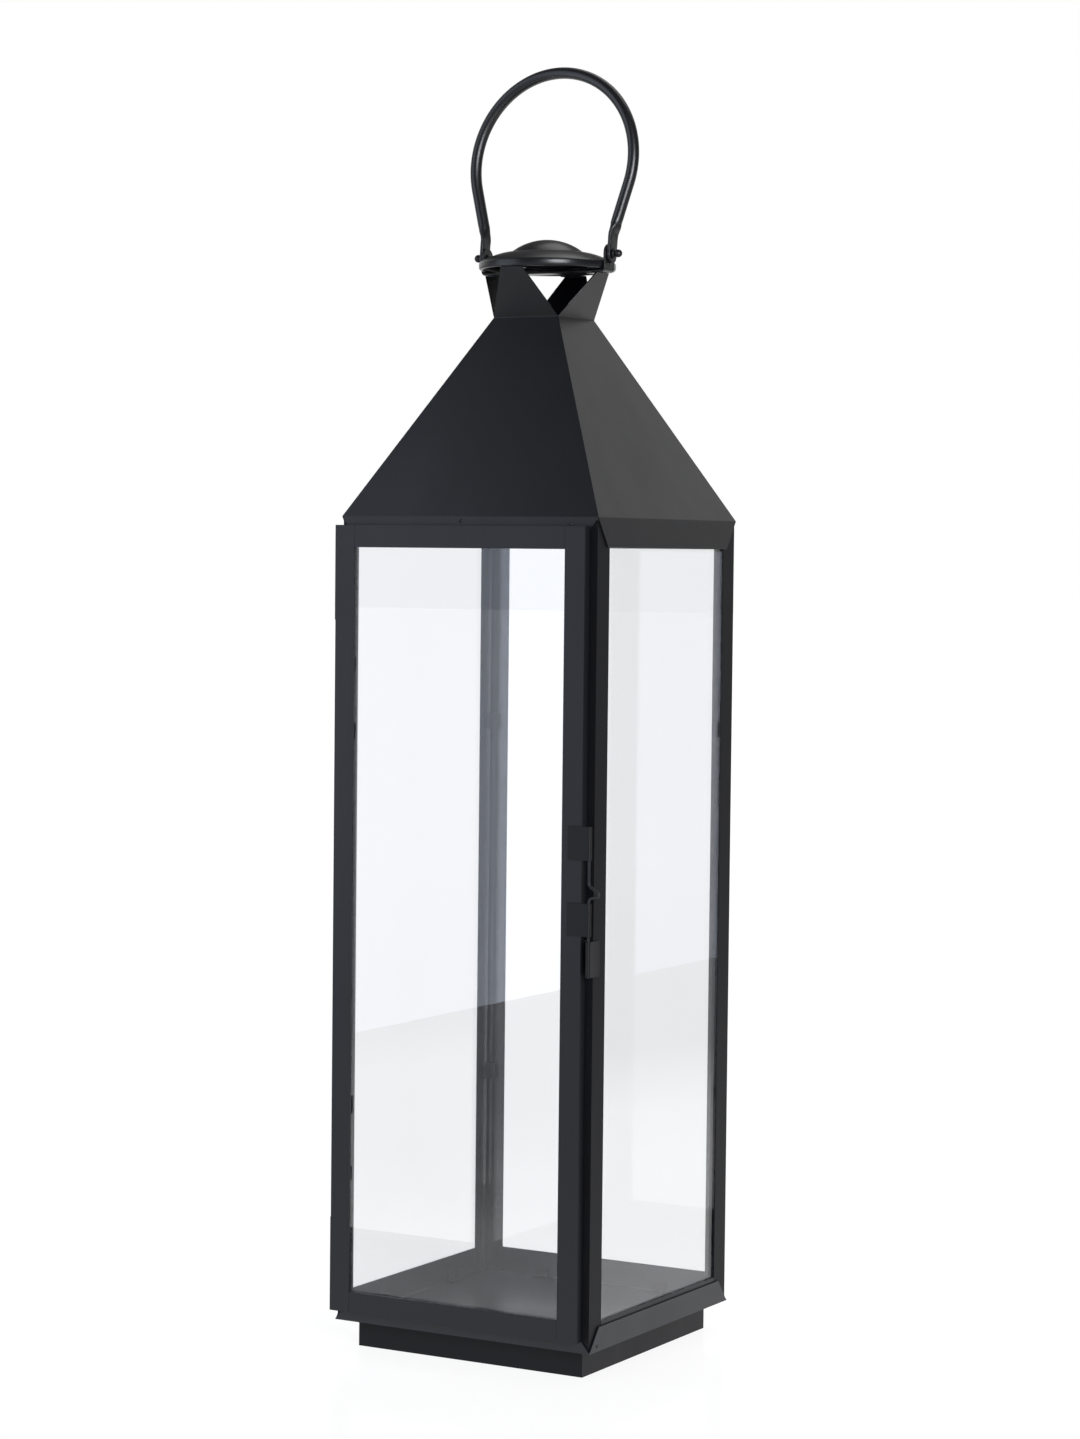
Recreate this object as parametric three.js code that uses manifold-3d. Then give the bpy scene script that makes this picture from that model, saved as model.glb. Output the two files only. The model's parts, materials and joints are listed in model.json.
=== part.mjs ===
// A free-standing candle lantern of folded sheet steel and glass: square glazed body on a plinth, a
// pyramid roof with a flared crown that carries a round cap, a bail handle, and one hinged door with a
// lift-up wire bolt.
// Millimetres, +Z up. The origin is the centre of the plinth's underside, on the floor; the door faces -Y.
import * as THREE from "three";
import * as BufferGeometryUtils from "three/addons/utils/BufferGeometryUtils.js";
import Module from "manifold-3d";

const wasm = await Module();
wasm.setup();

// ---------------------------------------------------------------- driving dimensions
const GAP = 0.3; // clearance kept between neighbouring pieces
const SHEET = 0.8; // thin folded sheet
const PLATE = 1; // thicker sheet of the posts and sills
const CUT = 300; // reach of the prisms that only trim other solids

const BODY = { half: 105, leg: 17.5, frontLeg: 10 }; // outer faces of the posts, widths of their legs
const PLINTH = { half: 93.6, height: 20, wall: 1.2 };
const BASE = { half: 106.2, z: 20.3, apronTop: 37.4, apronTopHalf: 92.5 };
const FLOOR = BASE.z + PLATE; // top of the base plate, which is the floor of the candle chamber
const SILL_TOP = 40.6;

const EAVE = { half: 106, z: 606.2, bandBottom: 585.3, bandBottomHalf: 91.3 };
const ROOF_TOP = { half: 27, z: 749.8 };
const CROWN = { topHalf: 8.9, tab: 8 };
const CROWN_EDGE = {
  front: { reach: 49, z: 786.9 }, // the front and back flaps come up beside the strap
  right: { reach: 49, z: 784.5 },
  back: { reach: 47, z: 786.9 },
  left: { reach: 45.5, z: 784.5 },
};
const TOP_OFFSET = 2.3; // how far the cap, the strap and the handle sit to the right of the roof's middle
const POST_TOP = 604;

const GLASS = { thickness: 3, half: 99, top: 597.5 };
const GLASS_OUT = BODY.half - PLATE - GAP; // outer face of a fixed pane
const GLASS_IN = GLASS_OUT - GLASS.thickness;
const CLIP = { arm: 7, height: 12, levels: { lower: 178, upper: 451 } };
const FLOOR_TAB = { width: 12, height: 8, foot: 5, at: { a: -50, b: 50 } };

const DOOR = {
  front: -114,
  plate: 1.5,
  lip: 1.2, // sheet of the returned outer edges
  lipBack: -107.2,
  left: -105.8,
  right: 99.9,
  bottom: 28.6,
  top: 599.9,
  stile: 16,
  topRail: 16,
  bottomRail: 15.2,
  rebate: 6, // how far the glass reaches behind the frame
};
const DOOR_BACK = DOOR.front + DOOR.plate;
const DOOR_GLASS_BACK = DOOR_BACK + GAP + GLASS.thickness;
const DOOR_CLIP = { height: 10, levels: { lower: 130, upper: 500 }, foot: 7, arm: 5.5 };

const HINGE = { x: -108, y: -107, barrel: 2, pin: 1, bore: 1.2, length: 68.4, knuckle: 24 };
const LATCH = { x: 105.5, y: -113.1, barrel: 1.9, wire: 1, bore: 1.3 };
const UPPER_SLEEVE = { bottom: 368, top: 391.5 };
const LOWER_SLEEVE = { bottom: 315, top: 338 };
const KEEPER = { bottom: 286, top: 311, leafEnd: -97 };
const BOLT = { bottom: 296, top: 386, pull: 8, pullBottom: 341.2, pullTop: 352.5 };

const STRAP = { half: 52, thickness: 1.5, width: 14.5, z: 784.8, bend: 3 };
const PIVOT = { z: 798.1, radius: 2 };
const CAP = { rim: 48.3, domeRadius: 26.2, domeZ: 800.9, top: 809.8, skin: 1 };
const RIM = { bead: 1.9, tall: 3.1, z: 790.4 }; // the rolled rim: half its width, half its height, its middle
const HANDLE = { rod: 4.2, arcRadius: 66.2, arcZ: 69.3, lean: 6.4 };
const HANDLE_END = { x: 53.65, half: 1.3, wide: 5.75 }; // flattened ends: place, half thickness and width
const HANDLE_FLAT = { bottom: -7, top: 14, neck: 25, out: 1.8, overlap: 3 };

// ---------------------------------------------------------------- materials
const paint = (color, roughness = 0.45) =>
  new THREE.MeshStandardMaterial({ color, roughness, metalness: 0.3 });
const materials = {
  frame: () => paint(0x17181b),
  roof: () => paint(0x15161a, 0.4),
  floor: () => paint(0x1c1e22, 0.35),
  fittings: () => paint(0x202024, 0.35),
  handle: () => paint(0x141416, 0.35),
  glass: () =>
    new THREE.MeshStandardMaterial({
      color: 0xe9f0ef,
      roughness: 0.03,
      metalness: 0,
      transparent: true,
      opacity: 0.25,
    }),
};

// ---------------------------------------------------------------- solids
/** A closed geometry as a manifold-3d solid. */
function solid(geometry) {
  const bare = geometry.clone();
  bare.deleteAttribute("normal");
  bare.deleteAttribute("uv");
  const merged = BufferGeometryUtils.mergeVertices(bare, 1e-4);
  return new wasm.Manifold(
    new wasm.Mesh({
      numProp: 3,
      vertProperties: new Float32Array(merged.attributes.position.array),
      triVerts: new Uint32Array(merged.index.array),
    }),
  );
}

/** A manifold-3d solid as a BufferGeometry. */
function geometryOf(body) {
  const mesh = body.getMesh();
  const geometry = new THREE.BufferGeometry();
  geometry.setAttribute("position", new THREE.BufferAttribute(new Float32Array(mesh.vertProperties), 3));
  geometry.setIndex(new THREE.BufferAttribute(new Uint32Array(mesh.triVerts), 1));
  geometry.computeVertexNormals();
  return geometry;
}

const join = (...geometries) => geometryOf(geometries.map(solid).reduce((sum, next) => sum.add(next)));
const cut = (first, ...rest) =>
  geometryOf(rest.map(solid).reduce((left, next) => left.subtract(next), solid(first)));
const common = (...geometries) =>
  geometryOf(geometries.map(solid).reduce((both, next) => both.intersect(next)));

/** A box between two opposite corners. */
function box(x0, x1, y0, y1, z0, z1) {
  const geometry = new THREE.BoxGeometry(Math.abs(x1 - x0), Math.abs(y1 - y0), Math.abs(z1 - z0));
  return geometry.translate((x0 + x1) / 2, (y0 + y1) / 2, (z0 + z1) / 2);
}

/** A prism with a plan outline in XY, from z0 up to z1. */
function prismZ(outline, z0, z1, curveSegments = 12) {
  const corners = Array.isArray(outline) ? outline.map(([x, y]) => new THREE.Vector2(x, y)) : null;
  const shape = corners ? new THREE.Shape(corners) : outline;
  const geometry = new THREE.ExtrudeGeometry(shape, { depth: z1 - z0, bevelEnabled: false, curveSegments });
  return geometry.translate(0, 0, z0);
}

/** A prism with an outline in XZ, from y0 to y1. */
function prismY(outline, y0, y1, curveSegments = 12) {
  const geometry = prismZ(outline, 0, y1 - y0, curveSegments);
  return geometry.rotateX(Math.PI / 2).translate(0, y1, 0);
}

/** A prism with an outline in YZ, from x0 to x1. */
function prismX(outline, x0, x1, curveSegments = 12) {
  const geometry = prismZ(outline, 0, x1 - x0, curveSegments);
  return geometry.rotateZ(Math.PI / 2).rotateY(Math.PI / 2).translate(x0, 0, 0);
}

/** A round bar along Z, or along X. */
const barZ = (x, y, radius, z0, z1, sides = 20) =>
  new THREE.CylinderGeometry(radius, radius, z1 - z0, sides)
    .rotateX(Math.PI / 2)
    .translate(x, y, (z0 + z1) / 2);
const barX = (y, z, radius, x0, x1, sides = 20) =>
  new THREE.CylinderGeometry(radius, radius, x1 - x0, sides)
    .rotateZ(Math.PI / 2)
    .translate((x0 + x1) / 2, y, z);

const lantern = new THREE.Group();

function add(name, geometry, material, parent = lantern) {
  const mesh = new THREE.Mesh(geometry, material());
  mesh.name = name;
  parent.add(mesh);
  return mesh;
}

/** A copy of a geometry turned about the lantern's vertical axis by quarter turns. */
const turned = (geometry, quarters) => geometry.clone().rotateZ((quarters * Math.PI) / 2);

/** A geometry mirrored left to right, its faces still pointing out. */
function mirroredX(geometry) {
  const body = solid(geometry.index ? geometry : BufferGeometryUtils.mergeVertices(geometry));
  const mesh = body.getMesh();
  const position = new Float32Array(mesh.vertProperties).map((value, i) => (i % 3 === 0 ? -value : value));
  const index = new Uint32Array(mesh.triVerts);
  for (let i = 0; i < index.length; i += 3) {
    [index[i + 1], index[i + 2]] = [index[i + 2], index[i + 1]];
  }
  const mirrored = new THREE.BufferGeometry();
  mirrored.setAttribute("position", new THREE.BufferAttribute(position, 3));
  mirrored.setIndex(new THREE.BufferAttribute(index, 1));
  mirrored.computeVertexNormals();
  return mirrored;
}

const SIDES = ["front", "right", "back", "left"]; // a piece made for the front, turned 0 to 3 quarters

// ---------------------------------------------------------------- plinth, base plate and sills
function plinth() {
  const { half, height, wall } = PLINTH;
  const inner = half - wall;
  const pan = box(-half, half, -half, half, 0, height);
  return cut(pan, box(-inner, inner, -inner, inner, wall, height + CUT));
}

/** The base plate: a flat pan whose four edges fold up into aprons with slanted ends. */
function basePlate() {
  const { half, z, apronTop, apronTopHalf } = BASE;
  const pan = box(-half, half, -half, half, z, FLOOR);
  const outline = [
    [-half, z],
    [half, z],
    [apronTopHalf, apronTop],
    [-apronTopHalf, apronTop],
  ];
  const apron = prismY(outline, -half, -half + SHEET);
  return join(pan, ...SIDES.map((side, quarters) => turned(apron, quarters)));
}

/** The bottom rail of one side, between the legs of two posts and behind the apron. */
function sill(leg) {
  const reach = BODY.half - leg - GAP;
  return box(-reach, reach, -BODY.half, -BODY.half + PLATE, FLOOR + GAP, SILL_TOP);
}

add("plinth", plinth(), materials.frame);
add("base_plate", basePlate(), materials.floor);
SIDES.forEach((side, quarters) => {
  const leg = side === "front" ? BODY.frontLeg : BODY.leg;
  add(`sill_${side}`, turned(sill(leg), quarters), materials.frame);
});

// ---------------------------------------------------------------- corner posts
/** An angle post at the front right corner, its legs along -X and +Y. */
function post(legX, legY) {
  const { half } = BODY;
  const inner = half - PLATE;
  const outline = [
    [half - legX, -half],
    [half, -half],
    [half, -half + legY],
    [inner, -half + legY],
    [inner, -inner],
    [half - legX, -inner],
  ];
  return prismZ(outline, FLOOR + GAP, POST_TOP);
}

add("post_front_right", post(BODY.frontLeg, BODY.leg), materials.frame);
add("post_back_right", turned(post(BODY.leg, BODY.leg), 1), materials.frame);
add("post_back_left", turned(post(BODY.leg, BODY.leg), 2), materials.frame);
add("post_front_left", turned(post(BODY.leg, BODY.frontLeg), 3), materials.frame);

// ---------------------------------------------------------------- fixed glass and what holds it
const pane = () => box(-GLASS.half, GLASS.half, -GLASS_OUT, -GLASS_IN, FLOOR + GAP, GLASS.top);
["right", "back", "left"].forEach((side, i) => {
  add(`glass_${side}`, turned(pane(), i + 1), materials.glass);
});

/** A clip in a back corner: a stem soldered into the post, with an arm over each of the two panes. */
function cornerClip(z) {
  const face = GLASS_IN - GAP;
  const armEnd = face - CLIP.arm;
  const stemEnd = BODY.half - PLATE - 0.2;
  const slant = 0.84; // the stem's sheet, measured along X where it crosses the diagonal
  const outline = [
    [armEnd, face - SHEET],
    [face - SHEET, face - SHEET],
    [face - SHEET, armEnd],
    [face, armEnd],
    [face, face - slant],
    [stemEnd, stemEnd - slant],
    [stemEnd - slant, stemEnd],
    [face - slant, face],
    [armEnd, face],
  ];
  return prismZ(outline, z - CLIP.height / 2, z + CLIP.height / 2);
}

/** A clip in the front right corner: a foot on the front leg and one arm over the side pane. */
function frontClip(z) {
  const face = GLASS_IN - GAP;
  const back = -BODY.half + PLATE + GAP;
  const footEnd = BODY.half - BODY.frontLeg - 1.2;
  const outline = [
    [footEnd, back],
    [face, back],
    [face, -face + CLIP.arm],
    [face - SHEET, -face + CLIP.arm],
    [face - SHEET, back + SHEET],
    [footEnd, back + SHEET],
  ];
  return prismZ(outline, z - CLIP.height / 2, z + CLIP.height / 2);
}

for (const [level, z] of Object.entries(CLIP.levels)) {
  add(`glass_clip_front_right_${level}`, frontClip(z), materials.fittings);
  add(`glass_clip_back_right_${level}`, cornerClip(z), materials.fittings);
  add(`glass_clip_back_left_${level}`, turned(cornerClip(z), 1), materials.fittings);
  add(`glass_clip_front_left_${level}`, mirroredX(frontClip(z)), materials.fittings);
}

/** A bent tab on the floor, which keeps the foot of a pane against its sill. */
function floorTab(x) {
  const face = -GLASS_IN + GAP;
  const half = FLOOR_TAB.width / 2;
  const bottom = FLOOR + 0.1;
  const upright = box(x - half, x + half, face, face + SHEET, bottom, bottom + FLOOR_TAB.height);
  return join(upright, box(x - half, x + half, face, face + FLOOR_TAB.foot, bottom, bottom + SHEET));
}

["right", "back", "left"].forEach((side, i) => {
  for (const [end, x] of Object.entries(FLOOR_TAB.at)) {
    add(`floor_tab_${side}_${end}`, turned(floorTab(x), i + 1), materials.fittings);
  }
});

// ---------------------------------------------------------------- roof
/** One roof panel, folded from one sheet: eave band, slope, and crown flap flaring out to the cap. */
function roofPanel({ reach, z: crownZ }) {
  const { half, z, bandBottom, bandBottomHalf } = EAVE;
  const slope = (half - ROOF_TOP.half) / (ROOF_TOP.z - z);
  const flare = (reach - ROOF_TOP.half) / (crownZ - ROOF_TOP.z);
  const slopeSkin = SHEET * Math.hypot(1, slope);
  const flareSkin = SHEET * Math.hypot(1, flare);
  const tabUnder = crownZ - SHEET;
  const section = [
    [half, bandBottom],
    [half, z],
    [ROOF_TOP.half, ROOF_TOP.z],
    [reach, crownZ],
    [reach - CROWN.tab, crownZ],
    [reach - CROWN.tab, tabUnder],
    [reach - flareSkin - SHEET * flare, tabUnder],
    [ROOF_TOP.half - slopeSkin, ROOF_TOP.z],
    [half - SHEET, z + (SHEET - slopeSkin) / slope],
    [half - SHEET, bandBottom],
  ].map(([out, height]) => [-out, height]);
  const folded = prismX(section, -half, half);
  const outline = [
    [-bandBottomHalf, bandBottom],
    [bandBottomHalf, bandBottom],
    [half, z],
    [half, z + GAP],
    [ROOF_TOP.half, ROOF_TOP.z],
    [CROWN.topHalf, crownZ],
    [-CROWN.topHalf, crownZ],
    [-ROOF_TOP.half, ROOF_TOP.z],
    [-half, z + GAP],
    [-half, z],
  ];
  const trimmed = prismY(outline, -half, 0);
  const mitre = prismZ([[0, -GAP / 2], [-CUT, -CUT - GAP / 2], [CUT, -CUT - GAP / 2]], 0, ROOF_TOP.z + CUT);
  return common(folded, trimmed, mitre);
}

SIDES.forEach((side, quarters) => {
  add(`roof_panel_${side}`, turned(roofPanel(CROWN_EDGE[side]), quarters), materials.roof);
});

// ---------------------------------------------------------------- bracket strap, cap and pivots
/** The strap across the crown: flat under the cap, with both ends bent up into ears for the handle. */
function bracketStrap() {
  const { half, thickness, width, z, bend } = STRAP;
  const earTop = PIVOT.z + CUT;
  const under = new THREE.Shape();
  under.moveTo(-half, earTop);
  under.lineTo(-half, z + bend);
  under.absarc(-half + bend, z + bend, bend, Math.PI, 1.5 * Math.PI, false);
  under.lineTo(half - bend, z);
  under.absarc(half - bend, z + bend, bend, 1.5 * Math.PI, 2 * Math.PI, false);
  under.lineTo(half, earTop);
  under.lineTo(half - thickness, earTop);
  under.lineTo(half - thickness, z + bend);
  under.absarc(half - bend, z + bend, bend - thickness, 2 * Math.PI, 1.5 * Math.PI, true);
  under.lineTo(-half + bend, z + thickness);
  under.absarc(-half + bend, z + bend, bend - thickness, 1.5 * Math.PI, Math.PI, true);
  under.lineTo(-half + thickness, earTop);
  const ears = new THREE.Shape();
  const round = width / 2;
  ears.moveTo(-round, z - 1);
  ears.lineTo(round, z - 1);
  ears.lineTo(round, PIVOT.z);
  ears.absarc(0, PIVOT.z, round, 0, Math.PI, false);
  const bent = common(prismY(under, -width, width, 6), prismX(ears, -CUT, CUT, 16));
  return cut(bent, barX(0, PIVOT.z, PIVOT.radius + 0.3, -CUT, CUT));
}

/** The cap's outline as radius and height, from the top of the dome to the rolled rim. */
function capOutline(inset) {
  const { rim, domeRadius, domeZ, top } = CAP;
  const rise = top - domeZ;
  const sphere = (domeRadius ** 2 + rise ** 2) / (2 * rise);
  const sweep = Math.asin(domeRadius / sphere);
  const points = [];
  for (let i = 0; i <= 8; i += 1) {
    const angle = (sweep * i) / 8;
    points.push([(sphere - inset) * Math.sin(angle), top - sphere + (sphere - inset) * Math.cos(angle)]);
  }
  // The shoulder falls from the foot of the dome to the top of the rim, ever steeper.
  const shoulderStart = domeRadius + 1.4;
  const shoulderEnd = rim + RIM.bead * 0.55;
  const endZ = RIM.z + RIM.tall * 0.84;
  for (let i = 0; i <= 7; i += 1) {
    const t = i / 7;
    const radius = shoulderStart + (shoulderEnd - shoulderStart) * t;
    points.push([radius - inset * t, domeZ - 0.5 - inset - (domeZ - 0.5 - endZ) * t ** 1.7]);
  }
  return points;
}

function cap() {
  const { rim, skin } = CAP;
  const outside = capOutline(0);
  const bead = [];
  for (let i = 0; i <= 9; i += 1) {
    const angle = THREE.MathUtils.degToRad(30 - i * 25);
    bead.push([rim + RIM.bead * Math.cos(angle), RIM.z + RIM.tall * Math.sin(angle)]);
  }
  const inside = capOutline(skin)
    .slice(0, -1)
    .reverse();
  const profile = [...outside, ...bead, ...inside].map(
    ([radius, z]) => new THREE.Vector2(Math.max(radius, 0), z),
  );
  return new THREE.LatheGeometry(profile.reverse(), 48).rotateX(Math.PI / 2);
}

/** A handle pivot on the +X side: shank, flat inner head, washer and domed outer head. */
function pivotRivet() {
  const inner = STRAP.half - STRAP.thickness - GAP;
  const outer = HANDLE_END.x + HANDLE_END.half + GAP;
  const head = 2.9;
  const headX = outer + 1.2 + head * 0.86;
  const profile = [
    [0, inner - 1.4],
    [2.2, inner - 1.4],
    [2.8, inner - 0.8],
    [2.8, inner],
    [PIVOT.radius, inner],
    [PIVOT.radius, outer],
    [3.6, outer],
    [3.6, outer + 1.2],
    [1.5, outer + 1.2],
  ];
  for (let i = 0; i <= 6; i += 1) {
    const angle = THREE.MathUtils.degToRad(-59 + (i * 149) / 6);
    profile.push([head * Math.cos(angle), headX + head * Math.sin(angle)]);
  }
  profile[profile.length - 1][0] = 0;
  const points = profile.map(([radius, along]) => new THREE.Vector2(radius, along));
  return new THREE.LatheGeometry(points, 20).rotateZ(-Math.PI / 2).translate(0, 0, PIVOT.z);
}

const crownTop = new THREE.Group();
crownTop.position.set(TOP_OFFSET, 0, 0);
lantern.add(crownTop);
add("bracket_strap", bracketStrap(), materials.fittings, crownTop);
add("cap", cap(), materials.roof, crownTop);
add("pivot_rivet_right", pivotRivet(), materials.fittings, crownTop);
add("pivot_rivet_left", pivotRivet().rotateZ(Math.PI), materials.fittings, crownTop);

// ---------------------------------------------------------------- bail handle
/** The bent rod, in the handle's own plane with the pivot line at height 0. */
function handleRod() {
  const { rod, arcRadius, arcZ } = HANDLE;
  const foot = new THREE.Vector2(HANDLE_END.x + HANDLE_FLAT.out, HANDLE_FLAT.neck - HANDLE_FLAT.overlap);
  const distance = Math.hypot(foot.x, arcZ - foot.y);
  const toFoot = Math.atan2(foot.y - arcZ, foot.x);
  const tangent = toFoot + Math.acos(arcRadius / distance);
  const path = [];
  const steps = 44;
  const touch = new THREE.Vector2(arcRadius * Math.cos(tangent), arcZ + arcRadius * Math.sin(tangent));
  for (const t of [0, 0.5]) {
    path.push(new THREE.Vector3(foot.x + (touch.x - foot.x) * t, 0, foot.y + (touch.y - foot.y) * t));
  }
  for (let i = 0; i <= steps; i += 1) {
    const angle = tangent + ((Math.PI - 2 * tangent) * i) / steps;
    path.push(new THREE.Vector3(arcRadius * Math.cos(angle), 0, arcZ + arcRadius * Math.sin(angle)));
  }
  for (const t of [0.5, 0]) {
    path.push(new THREE.Vector3(-foot.x - (touch.x - foot.x) * t, 0, foot.y + (touch.y - foot.y) * t));
  }
  const section = new THREE.Shape().absarc(0, 0, rod, 0, 2 * Math.PI, false);
  const curve = new THREE.CatmullRomCurve3(path, false, "centripetal");
  const options = { steps: 60, extrudePath: curve, curveSegments: 8, bevelEnabled: false };
  return new THREE.ExtrudeGeometry(section, options);
}

/** The right-hand end of the rod: flat against the ear, then a neck that swells back to round. */
function handleEnd() {
  const { x: flatX, half: flatHalf, wide: round } = HANDLE_END;
  const { bottom, top, neck, out } = HANDLE_FLAT;
  const outline = new THREE.Shape();
  outline.moveTo(round, top + 1);
  outline.lineTo(-round, top + 1);
  outline.lineTo(-round, bottom + round);
  outline.absarc(0, bottom + round, round, Math.PI, 2 * Math.PI, false);
  const flat = prismX(outline, flatX - flatHalf, flatX + flatHalf, 10);
  const swell = new THREE.CylinderGeometry(1, 1, neck - top, 20, 4).rotateX(Math.PI / 2);
  const position = swell.attributes.position;
  for (let i = 0; i < position.count; i += 1) {
    const t = THREE.MathUtils.clamp(position.getZ(i) / (neck - top) + 0.5, 0, 1);
    const ease = t * t * (3 - 2 * t);
    const halfX = THREE.MathUtils.lerp(flatHalf, HANDLE.rod, ease);
    const halfY = THREE.MathUtils.lerp(round, HANDLE.rod, ease);
    position.setX(i, flatX + out * ease + position.getX(i) * halfX);
    position.setY(i, position.getY(i) * halfY);
    position.setZ(i, top + t * (neck - top));
  }
  return join(flat, swell);
}

function handle() {
  const right = handleEnd();
  const whole = join(handleRod(), right, mirroredX(right));
  return cut(whole, barX(0, 0, PIVOT.radius + 0.3, -CUT, CUT));
}

const bail = new THREE.Group();
bail.position.set(TOP_OFFSET, 0, PIVOT.z);
bail.rotation.x = -THREE.MathUtils.degToRad(HANDLE.lean);
lantern.add(bail);
add("bail_handle", handle(), materials.handle, bail);

// ---------------------------------------------------------------- door
function doorBox(x0, x1, z0, z1) {
  return box(x0, x1, DOOR.front, DOOR_BACK, z0, z1);
}

const OPENING = {
  left: DOOR.left + DOOR.stile,
  right: DOOR.right - DOOR.stile,
  bottom: DOOR.bottom + DOOR.bottomRail,
  top: DOOR.top - DOOR.topRail,
};

/** A member of the door frame: a flat face with its outer edge folded back as a lip. */
function doorMember(x0, x1, z0, z1, lip) {
  const edge = box(lip.x0 ?? x0, lip.x1 ?? x1, DOOR.front, DOOR.lipBack, lip.z0 ?? z0, lip.z1 ?? z1);
  return join(doorBox(x0, x1, z0, z1), edge);
}

const railEnds = [OPENING.left + GAP / 2, OPENING.right - GAP / 2];
const members = {
  door_stile_left: [DOOR.left, OPENING.left, DOOR.bottom, DOOR.top, { x1: DOOR.left + DOOR.lip }],
  door_stile_right: [OPENING.right, DOOR.right, DOOR.bottom, DOOR.top, { x0: DOOR.right - DOOR.lip }],
  door_rail_top: [...railEnds, OPENING.top, DOOR.top, { z0: DOOR.top - DOOR.lip }],
  door_rail_bottom: [...railEnds, DOOR.bottom, OPENING.bottom, { z1: DOOR.bottom + DOOR.lip }],
};
for (const [name, member] of Object.entries(members)) {
  add(name, doorMember(...member), materials.frame);
}

const GLASS_EDGE = { left: OPENING.left - DOOR.rebate, right: OPENING.right + DOOR.rebate };
const doorGlass = box(
  GLASS_EDGE.left,
  GLASS_EDGE.right,
  DOOR_BACK + GAP,
  DOOR_GLASS_BACK,
  OPENING.bottom - DOOR.rebate,
  OPENING.top + DOOR.rebate,
);
add("door_glass", doorGlass, materials.glass);

/** A stepped clip on the right stile: foot on the stile's back, arm over the glass. */
function doorClip(z) {
  const edge = GLASS_EDGE.right + GAP;
  const foot = DOOR_BACK + 0.2;
  const arm = DOOR_GLASS_BACK + GAP;
  const outline = [
    [edge, foot],
    [edge + DOOR_CLIP.foot, foot],
    [edge + DOOR_CLIP.foot, foot + SHEET],
    [edge + SHEET, foot + SHEET],
    [edge + SHEET, arm + SHEET],
    [edge - DOOR_CLIP.arm, arm + SHEET],
    [edge - DOOR_CLIP.arm, arm],
    [edge, arm],
  ];
  return prismZ(outline, z - DOOR_CLIP.height / 2, z + DOOR_CLIP.height / 2);
}

for (const [level, z] of Object.entries(DOOR_CLIP.levels)) {
  add(`door_clip_right_${level}`, doorClip(z), materials.fittings);
  const opposite = mirroredX(doorClip(z)).translate(DOOR.left + DOOR.right, 0, 0);
  add(`door_clip_left_${level}`, opposite, materials.fittings);
}

// ---------------------------------------------------------------- hinges
/** A door leaf: a plate on the side of the stile with a knuckle at each end. */
function doorLeaf(z) {
  const { x, y, barrel, bore, length, knuckle } = HINGE;
  const face = DOOR.left - GAP;
  const middle = [z + knuckle - GAP, z + length - knuckle + GAP];
  const plate = box(face - SHEET, face, DOOR.front + 0.8, y, z, z + length);
  const notch = box(face - 2 * SHEET, face + SHEET, y - barrel - GAP, y + 1, ...middle);
  const knuckles = [barZ(x, y, barrel, z, middle[0]), barZ(x, y, barrel, middle[1], z + length)];
  return cut(join(cut(plate, notch), ...knuckles), barZ(x, y, bore, z - 1, z + length + 1));
}

/** A post leaf: a plate on the side of the corner post with one knuckle in the middle. */
function postLeaf(z) {
  const { x, y, barrel, bore, length, knuckle } = HINGE;
  const bottom = z + knuckle;
  const top = z + length - knuckle;
  const face = -BODY.half - GAP;
  const plate = box(face - 1, face, y + 0.1, y + 7.5, bottom, top);
  return cut(join(plate, barZ(x, y, barrel, bottom, top)), barZ(x, y, bore, z, z + length));
}

const hingeHeights = { lower: DOOR.bottom, upper: DOOR.top - HINGE.length };
for (const [name, z] of Object.entries(hingeHeights)) {
  add(`hinge_door_leaf_${name}`, doorLeaf(z), materials.frame);
  add(`hinge_post_leaf_${name}`, postLeaf(z), materials.frame);
  add(`hinge_pin_${name}`, barZ(HINGE.x, HINGE.y, HINGE.pin, z, z + HINGE.length, 16), materials.fittings);
}

// ---------------------------------------------------------------- latch
/** A door sleeve: a leaf on the front of the right stile, rolled into a barrel beside its edge. */
function doorSleeve({ bottom, top }) {
  const { x, y, barrel, bore } = LATCH;
  const plate = box(OPENING.right + 5.4, x, y - barrel, y - barrel + SHEET, bottom, top);
  return cut(join(plate, barZ(x, y, barrel, bottom, top)), barZ(x, y, bore, bottom - 1, top + 1));
}

/** The keeper: a leaf on the side of the front right post, its barrel in line with the sleeves. */
function keeper() {
  const { x, y, barrel, bore } = LATCH;
  const face = BODY.half + GAP;
  const plate = box(face, face + SHEET, y, KEEPER.leafEnd, KEEPER.bottom, KEEPER.top);
  const rolled = join(plate, barZ(x, y, barrel, KEEPER.bottom, KEEPER.top));
  return cut(rolled, barZ(x, y, bore, KEEPER.bottom - 1, KEEPER.top + 1));
}

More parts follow.
